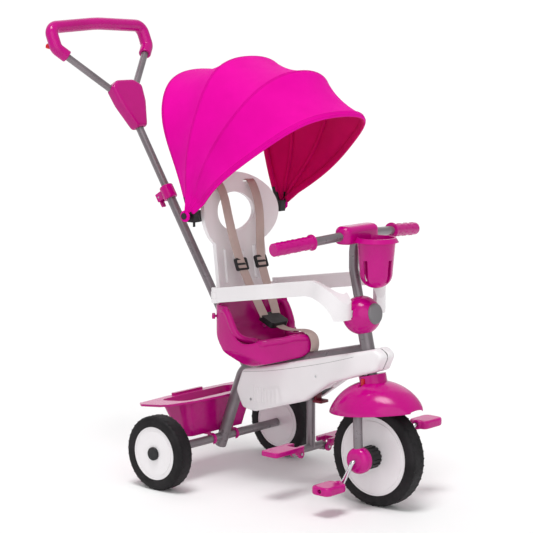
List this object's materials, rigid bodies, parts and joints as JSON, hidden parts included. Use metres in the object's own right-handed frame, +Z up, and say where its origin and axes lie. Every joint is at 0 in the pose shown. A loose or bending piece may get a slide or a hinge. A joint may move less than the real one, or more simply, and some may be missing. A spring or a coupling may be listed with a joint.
{
  "type": "children's push trike",
  "caption": "Push tricycle for a toddler with folding canopy, bucket seat, swing-out armrests, pedals, folding footrest, rear basket and a parent's push handle.",
  "frame": {"origin": "on the floor, at the centre of the whole trike's footprint box", "axes": "+X forwards, +Y to the rider's left, +Z up"},
  "size_m": [1.0185, 0.514, 1.0809],
  "materials": {
    "pink_plastic": "gloss",
    "white_plastic": "gloss",
    "grey_plastic": "satin",
    "black_plastic": "satin",
    "red_plastic": "gloss",
    "dark_red_plastic": "gloss",
    "grey_metal": "satin",
    "steel": "brushed",
    "chrome": "polished",
    "tyre": "matte",
    "canopy_fabric": "woven",
    "webbing": "woven"
  },
  "bodies": {
    "frame": {"main_tube": "grey_metal", "head_tube": "grey_metal", "lower_push_tube": "grey_metal", "rear_axle_tube": "grey_metal", "rear_axle_rod": "steel", "bushes": "black_plastic", "steering_collar": "pink_plastic", "body_cover_right": "white_plastic", "body_cover_left": "white_plastic", "frame_screws": "steel", "seat_shell": "pink_plastic", "seat_back": "white_plastic", "footrest_post": "grey_metal", "pivot_pins": "steel", "basket": "pink_plastic", "axle_caps": "black_plastic", "canopy_brackets": "black_plastic", "canopy_rear_hoop": "black_plastic", "canopy_pins": "black_plastic", "canopy_gore_rear": "canopy_fabric", "harness_webbing": "webbing", "harness_fittings": "black_plastic", "push_clamp": "pink_plastic"},
    "steering": {"fork": "grey_metal", "fork_caps": "pink_plastic", "fender": "pink_plastic", "handlebar": "grey_metal", "handlebar_clamp": "pink_plastic", "handlebar_grips": "pink_plastic", "cup_holder": "pink_plastic"},
    "front_wheel": {"front_tyre": "tyre", "front_discs": "white_plastic", "front_hub": "black_plastic"},
    "crank": {"crank": "chrome"},
    "pedal_right": {"pedal_right": "pink_plastic"},
    "pedal_left": {"pedal_left": "pink_plastic"},
    "rear_wheel_right": {"rear_tyre_right": "tyre", "rear_discs_right": "white_plastic"},
    "rear_wheel_left": {"rear_tyre_left": "tyre", "rear_discs_left": "white_plastic"},
    "push_handle": {"upper_push_tube": "grey_metal", "handle_joint": "pink_plastic", "handle_tube": "grey_metal", "handle_grip": "pink_plastic", "handle_studs": "red_plastic"},
    "clamp_lever": {"push_clamp_lever": "pink_plastic"},
    "rib_1": {"canopy_rib_1": "black_plastic", "canopy_gore_middle": "canopy_fabric"},
    "rib_2": {"canopy_rib_2": "black_plastic"},
    "front_hoop": {"canopy_front_hoop": "black_plastic", "canopy_gore_front": "canopy_fabric"},
    "armrest_right": {"armrest_right": "white_plastic"},
    "armrest_left": {"armrest_left": "white_plastic"},
    "foot_pad_right": {"foot_pad_right": "pink_plastic"},
    "foot_pad_left": {"foot_pad_left": "pink_plastic"},
    "footrest_lever": {"footrest_lever": "dark_red_plastic"},
    "collar_button": {"collar_button": "grey_plastic"},
    "fender_clip": {"fender_clip": "red_plastic"},
    "seat_knob": {"seat_knob": "pink_plastic"}
  },
  "joints": [
    {"name": "steer", "type": "hinge", "parent": "frame", "child": "steering", "pos_m": [0.3471, 0, 0.4278], "axis": [-0.23, 0, 0.9732], "range_deg": [-30, 30]},
    {"name": "front_wheel_spin", "type": "hinge", "parent": "steering", "child": "front_wheel", "pos_m": [0.397, 0, 0.115], "axis": [0, 1, 0], "continuous": true},
    {"name": "crank_spin", "type": "hinge", "parent": "steering", "child": "crank", "pos_m": [0.397, 0, 0.115], "axis": [0, 1, 0], "continuous": true},
    {"name": "pedal_right_spin", "type": "hinge", "parent": "crank", "child": "pedal_right", "pos_m": [0.37164, -0.139, 0.06062], "axis": [0, 1, 0], "continuous": true},
    {"name": "pedal_left_spin", "type": "hinge", "parent": "crank", "child": "pedal_left", "pos_m": [0.42236, 0.139, 0.16938], "axis": [0, 1, 0], "continuous": true},
    {"name": "rear_wheel_right_spin", "type": "hinge", "parent": "frame", "child": "rear_wheel_right", "pos_m": [-0.0717, -0.22, 0.0867], "axis": [0, 1, 0], "continuous": true},
    {"name": "rear_wheel_left_spin", "type": "hinge", "parent": "frame", "child": "rear_wheel_left", "pos_m": [-0.0717, 0.22, 0.0867], "axis": [0, 1, 0], "continuous": true},
    {"name": "push_handle_slide", "type": "slide", "parent": "frame", "child": "push_handle", "axis": [-0.5358, 0, 0.8443], "range_m": [-0.11, 0]},
    {"name": "clamp_lever_hinge", "type": "hinge", "parent": "frame", "child": "clamp_lever", "pos_m": [-0.27198, 0, 0.64972], "axis": [0, 1, 0], "range_deg": [0, 80]},
    {"name": "canopy_rib_1_fold", "type": "hinge", "parent": "frame", "child": "rib_1", "pos_m": [-0.031, 0, 0.637], "axis": [0, -1, 0], "range_deg": [0, 23], "deforming": ["canopy_gore_rear"]},
    {"name": "canopy_rib_2_fold", "type": "hinge", "parent": "rib_1", "child": "rib_2", "pos_m": [-0.031, 0, 0.637], "axis": [0, -1, 0], "range_deg": [0, 19.4], "deforming": ["canopy_gore_middle"]},
    {"name": "canopy_front_fold", "type": "hinge", "parent": "rib_2", "child": "front_hoop", "pos_m": [-0.031, 0, 0.637], "axis": [0, -1, 0], "range_deg": [0, 15.29], "deforming": ["canopy_gore_front"]},
    {"name": "armrest_right_swing", "type": "hinge", "parent": "frame", "child": "armrest_right", "pos_m": [0.002, -0.108, 0.45], "axis": [0, 0, -1], "range_deg": [0, 100]},
    {"name": "armrest_left_swing", "type": "hinge", "parent": "frame", "child": "armrest_left", "pos_m": [0.002, 0.108, 0.45], "axis": [0, 0, 1], "range_deg": [0, 100]},
    {"name": "foot_pad_right_fold", "type": "hinge", "parent": "frame", "child": "foot_pad_right", "pos_m": [0.201, -0.05, 0.096], "axis": [-1, 0, 0], "range_deg": [0, 90]},
    {"name": "foot_pad_left_fold", "type": "hinge", "parent": "frame", "child": "foot_pad_left", "pos_m": [0.201, 0.05, 0.096], "axis": [1, 0, 0], "range_deg": [0, 90]},
    {"name": "footrest_lever_press", "type": "hinge", "parent": "frame", "child": "footrest_lever", "pos_m": [0.221, 0, 0.243], "axis": [0, -1, 0], "range_deg": [0, 14], "stiffness_Nm_per_rad": 0.1},
    {"name": "collar_button_press", "type": "slide", "parent": "frame", "child": "collar_button", "axis": [-0.995, 0, -0.0995], "range_m": [0, 0.003], "stiffness_N_per_m": 300},
    {"name": "fender_clip_press", "type": "slide", "parent": "steering", "child": "fender_clip", "axis": [0.158, 0.9874, 0], "range_m": [0, 0.003], "stiffness_N_per_m": 150},
    {"name": "seat_knob_press", "type": "slide", "parent": "frame", "child": "seat_knob", "axis": [0.8, 0.6, 0], "range_m": [0, 0.003], "stiffness_N_per_m": 150}
  ],
  "couplings": [
    {"joint": "crank_spin", "follows": "front_wheel_spin", "ratio": 1},
    {"joint": "canopy_rib_2_fold", "follows": "canopy_rib_1_fold", "ratio": 0.8435},
    {"joint": "canopy_front_fold", "follows": "canopy_rib_1_fold", "ratio": 0.665}
  ]
}
